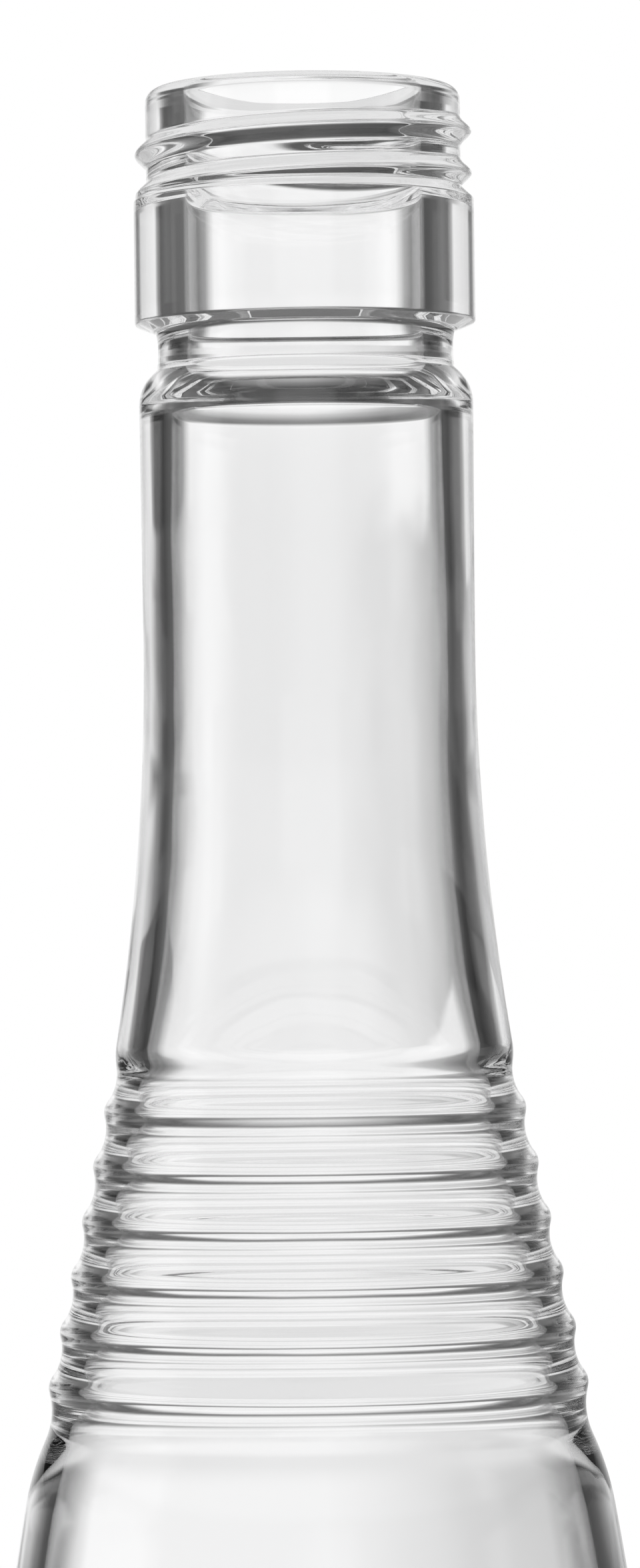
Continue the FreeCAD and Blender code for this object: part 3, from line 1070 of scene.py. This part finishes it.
@dataclass
class Studio:
    """Plain pale floor, white surroundings, one soft lamp and the camera.

    Lengths are in metres, and stops are angles in degrees with the brightness at each. An edge says where
    one part of the room starts to pass into the next, and where it has done so. It is in degrees, or, for
    the near, ahead and beside edges, it is how far a direction points along Y.
    """

    distance: float = 0.540
    eye_height: float = 0.1712
    aim: tuple[float, float, float] = (0.00074, 0.0, 0.1824)
    roll: float = -0.727
    lens: float = 150.0
    sensor: float = 36.0
    floor_radius: float = 0.3
    floor_segments: int = 128
    low_stops: tuple[Point, ...] = (
        (-45.0, 0.06), (-38.0, 0.08), (-31.0, 0.2), (-26.0, 0.44), (-20.0, 0.8), (-15.0, 1.0),
        (2.0, 1.0), (8.0, 0.82), (15.0, 0.62), (22.0, 0.42), (27.0, 0.2), (32.0, 0.1), (45.0, 0.06),
    )
    high_stops: tuple[Point, ...] = (
        (-45.0, 0.02), (-28.0, 0.03), (-22.0, 0.3), (-17.0, 1.0),
        (17.0, 1.0), (22.0, 0.4), (28.0, 0.1), (45.0, 0.04),
    )
    bottom_stops: tuple[Point, ...] = (
        (-45.0, 0.05), (-30.0, 0.07), (-23.0, 0.16), (-16.0, 0.6), (-11.0, 1.0), (0.0, 1.0), (2.0, 0.88),
        (4.4, 0.73), (6.5, 0.62), (10.5, 0.54), (23.0, 0.17), (30.0, 0.07), (45.0, 0.05),
    )
    rise_stops: tuple[Point, ...] = (
        (-90.0, 1.0), (-5.0, 1.0), (-3.5, 0.97), (4.5, 0.97), (6.0, 1.05), (8.0, 1.05), (10.0, 0.98),
        (12.0, 0.93), (15.0, 0.62), (19.0, 0.26), (24.0, 0.08), (90.0, 0.06),
    )
    near_tone: float = 0.04
    below_tone: float = 0.82
    side_ceiling: float = 0.08
    mirror_tone: float = 0.75
    mirror_gap: float = 0.3
    ceiling_ends: float = 0.06
    overhead_tone: float = 0.1
    wall_span: float = 90.0
    rise_span: float = 180.0
    high_edge: Point = (4.1, 4.7)
    bottom_edge: Point = (-2.0, -3.4)
    top_edge: Point = (10.0, 12.0)
    floor_edge: Point = (-8.0, -12.0)
    ceiling_edge: Point = (11.0, 15.0)
    ceiling_sides: Point = (14.0, 26.0)
    mirror_edge: Point = (14.0, 22.0)
    overhead_edge: Point = (38.0, 45.0)
    near_edge: Point = (-0.3, -0.7)
    ahead_edge: Point = (0.1, -0.2)
    beside_edge: Point = (0.6, 0.2)
    floor_colour: Colour = (0.9, 0.9, 0.9)
    floor_roughness: float = 0.7
    floor_fade: Point = (0.12, 0.28)
    lamp_place: tuple[float, float, float] = (-0.5, -0.5, 1.3)
    lamp_size: float = 0.8
    lamp_power: float = 6.0
    bounces: int = 64

    def build(self) -> None:
        """Makes the floor, the light and the camera, and lets light run round inside the glass wall."""
        light_paths = bpy.context.scene.cycles
        light_paths.max_bounces = self.bounces
        light_paths.glossy_bounces = self.bounces
        light_paths.transmission_bounces = self.bounces
        self.floor()
        self.world()
        self.lamp()
        self.camera()
        bpy.context.scene.view_settings.view_transform = "Standard"

    def floor(self) -> None:
        """Makes a pale floor that keeps shadows near the object and fades to white further out."""
        bpy.ops.mesh.primitive_circle_add(
            vertices=self.floor_segments, radius=self.floor_radius, fill_type="TRIFAN"
        )
        plane = bpy.context.object
        plane.name = "floor"
        material, graph, shader = new_material("pale_floor")
        shader.inputs["Base Color"].default_value = (*self.floor_colour, 1.0)
        shader.inputs["Roughness"].default_value = self.floor_roughness
        spot = graph.add("ShaderNodeTexCoord").outputs["Object"]
        length = graph.add("ShaderNodeVectorMath", operation="LENGTH")
        graph.feed(length.inputs[0], spot)
        far = graph.smooth(length.outputs["Value"], *self.floor_fade)
        glow = graph.add("ShaderNodeEmission")
        through = graph.add("ShaderNodeLightPath").outputs["Is Transmission Ray"]
        graph.feed(glow.inputs["Strength"], graph.mix(1.0, self.below_tone, through))
        mix = graph.add("ShaderNodeMixShader")
        graph.feed(mix.inputs[0], far)
        graph.feed(mix.inputs[1], shader.outputs[0])
        graph.feed(mix.inputs[2], glow.outputs[0])
        output = next(n for n in material.node_tree.nodes if n.type == "OUTPUT_MATERIAL")
        graph.feed(output.inputs["Surface"], mix.outputs[0])
        plane.data.materials.append(material)

    def world(self) -> None:
        """Makes white surroundings, which glass and metal show as a room with bright walls and dark gaps."""
        world = bpy.data.worlds.new("studio")
        bpy.context.scene.world = world
        world.use_nodes = True
        graph = Graph(world.node_tree)
        back = next(n for n in world.node_tree.nodes if n.type == "BACKGROUND")
        split = graph.add("ShaderNodeSeparateXYZ")
        graph.feed(split.inputs[0], graph.add("ShaderNodeTexCoord").outputs["Generated"])
        x, y, z = split.outputs
        bearing = graph.math("ARCTAN2", x, y)
        elevation = graph.math("ARCSINE", z)
        path = graph.add("ShaderNodeLightPath")
        glossy, through = path.outputs["Is Glossy Ray"], path.outputs["Is Transmission Ray"]
        near = graph.math("MULTIPLY", graph.smooth(y, *self.near_edge), through)
        sides = self.sides(graph, bearing, elevation, near)
        room = graph.math("MULTIPLY", sides, self.rise(graph, elevation, y))
        room = graph.math("MAXIMUM", room, self.ceiling(graph, bearing, elevation))
        mirrored = graph.math("GREATER_THAN", glossy, through)
        lift = graph.math("MULTIPLY", mirrored, self.mirror(graph, elevation, y))
        room = graph.math("MAXIMUM", room, lift)
        # Light that a plain surface has scattered comes from white all round, also through the glass.
        first_hand = graph.math("LESS_THAN", path.outputs["Diffuse Depth"], 0.5)
        seen = graph.math("MULTIPLY", graph.math("MAXIMUM", glossy, through), first_hand)
        level = graph.mix(1.0, room, seen)
        level = graph.math("MAXIMUM", level, path.outputs["Is Camera Ray"])
        back.inputs["Color"].default_value = (1.0, 1.0, 1.0, 1.0)
        graph.feed(back.inputs["Strength"], level)

    def sides(self, graph: Graph, bearing: Socket, elevation: Socket, near: Socket) -> Socket:
        """Brightness of the four walls, which are alike, and of the floor under them.

        Args:
            graph: The world's graph.
            bearing: The direction's angle about Z.
            elevation: Its angle above the ground.
            near: 1 where the dark side behind the camera is seen.

        Returns:
            The brightness before it falls off towards the ceiling.
        """
        half_wall = math.radians(self.wall_span / 2)
        azimuth = graph.math("WRAP", bearing, half_wall, -half_wall)
        low = self.tone(graph, azimuth, self.low_stops, self.wall_span)
        high = self.tone(graph, azimuth, self.high_stops, self.wall_span)
        bottom = self.tone(graph, azimuth, self.bottom_stops, self.wall_span)
        wall = graph.mix(low, high, graph.sweep(elevation, self.high_edge))
        outer = graph.math(
            "MAXIMUM", graph.sweep(elevation, self.bottom_edge), graph.sweep(elevation, self.top_edge)
        )
        wall = graph.mix(wall, bottom, outer)
        wall = graph.mix(wall, self.near_tone, near)
        return graph.mix(wall, self.below_tone, graph.sweep(elevation, self.floor_edge))

    def rise(self, graph: Graph, elevation: Socket, y: Socket) -> Socket:
        """How much of the walls' brightness is left at a height.

        Args:
            graph: The world's graph.
            elevation: The direction's angle above the ground.
            y: How far the direction points away from the camera.

        Returns:
            The share that is left.
        """
        share = self.tone(graph, elevation, self.rise_stops, self.rise_span)
        beside = graph.smooth(y, *self.beside_edge)
        return graph.math("MAXIMUM", share, graph.math("MULTIPLY", beside, self.side_ceiling))

    def ceiling(self, graph: Graph, bearing: Socket, elevation: Socket) -> Socket:
        """Least brightness high up: at the ends of the ceiling, and straight overhead.

        Args:
            graph: The world's graph.
            bearing: The direction's angle about Z.
            elevation: Its angle above the ground.

        Returns:
            The brightness.
        """
        off = graph.sweep(graph.math("ABSOLUTE", bearing), self.ceiling_sides)
        ends = graph.math("MULTIPLY", off, graph.sweep(elevation, self.ceiling_edge))
        overhead = graph.sweep(elevation, self.overhead_edge)
        return graph.math(
            "MAXIMUM",
            graph.math("MULTIPLY", ends, self.ceiling_ends),
            graph.math("MULTIPLY", overhead, self.overhead_tone),
        )

    def mirror(self, graph: Graph, elevation: Socket, y: Socket) -> Socket:
        """Least brightness that a reflection shows, on the metal or on the skin of the glass.

        Args:
            graph: The world's graph.
            elevation: The direction's angle above the ground.
            y: How far the direction points away from the camera.

        Returns:
            The brightness.
        """
        ahead = graph.math("MULTIPLY", graph.smooth(y, *self.ahead_edge), self.mirror_gap)
        above = graph.math("MULTIPLY", graph.sweep(elevation, self.mirror_edge), self.mirror_tone)
        return graph.math("MAXIMUM", ahead, above)

    def tone(self, graph: Graph, angle: Socket, stops: tuple[Point, ...], span: float) -> Socket:
        """Brightness of the surroundings by one angle of the direction.

        Args:
            graph: The world's graph.
            angle: The angle in radians.
            stops: Angles in degrees and the brightness at each.
            span: The whole range of the angle in degrees, centred on 0.

        Returns:
            The brightness.
        """
        ramp = graph.add("ShaderNodeValToRGB")
        graph.feed(ramp.inputs[0], graph.math("MULTIPLY_ADD", angle, math.degrees(1.0) / span, 0.5))
        elements = ramp.color_ramp.elements
        while len(elements) < len(stops):
            elements.new(0.5)
        for element, (degrees, tone) in zip(elements, stops):
            element.position = degrees / span + 0.5
            element.color = (tone, tone, tone, 1.0)
        return ramp.outputs["Color"]

    def lamp(self) -> None:
        """Hangs one large soft lamp overhead."""
        data = bpy.data.lights.new("soft_box", "AREA")
        data.shape = "DISK"
        data.size = self.lamp_size
        data.energy = self.lamp_power
        lamp = bpy.data.objects.new("soft_box", data)
        lamp.location = self.lamp_place
        lamp.rotation_mode = "QUATERNION"
        lamp.rotation_quaternion = (-Vector(self.lamp_place)).to_track_quat("-Z", "Y")
        lamp.visible_glossy = False
        lamp.visible_transmission = False
        bpy.context.scene.collection.objects.link(lamp)

    def camera(self) -> None:
        """Puts the camera where the photograph was taken from."""
        data = bpy.data.cameras.new("camera")
        data.lens = self.lens
        data.sensor_width = self.sensor
        data.sensor_fit = "AUTO"
        camera = bpy.data.objects.new("camera", data)
        eye = Vector((self.aim[0], -self.distance, self.eye_height))
        look = (Vector(self.aim) - eye).to_track_quat("-Z", "Y").to_matrix().to_4x4()
        tilt = Matrix.Rotation(math.radians(self.roll), 4, "Z")
        camera.matrix_world = Matrix.Translation(eye) @ look @ tilt
        bpy.context.scene.collection.objects.link(camera)
        bpy.context.scene.camera = camera


def main() -> None:
    """Builds the pieces in order and reports each one."""
    logging.basicConfig(level=logging.INFO, format="%(name)s: %(message)s")
    bottle = GlassBottle().build(ClearGlass())
    LOG.info("%s has %d faces", bottle.name, len(bottle.data.polygons))
    closure = Closure()
    shell = closure.build(RolledAluminium())
    LOG.info("%s has %d faces", shell.name, len(shell.data.polygons))
    liner = closure.dress_liner(SealingCompound())
    LOG.info("%s has its finish", liner.name)
    Studio().build()


if __name__ == "__main__":
    main()
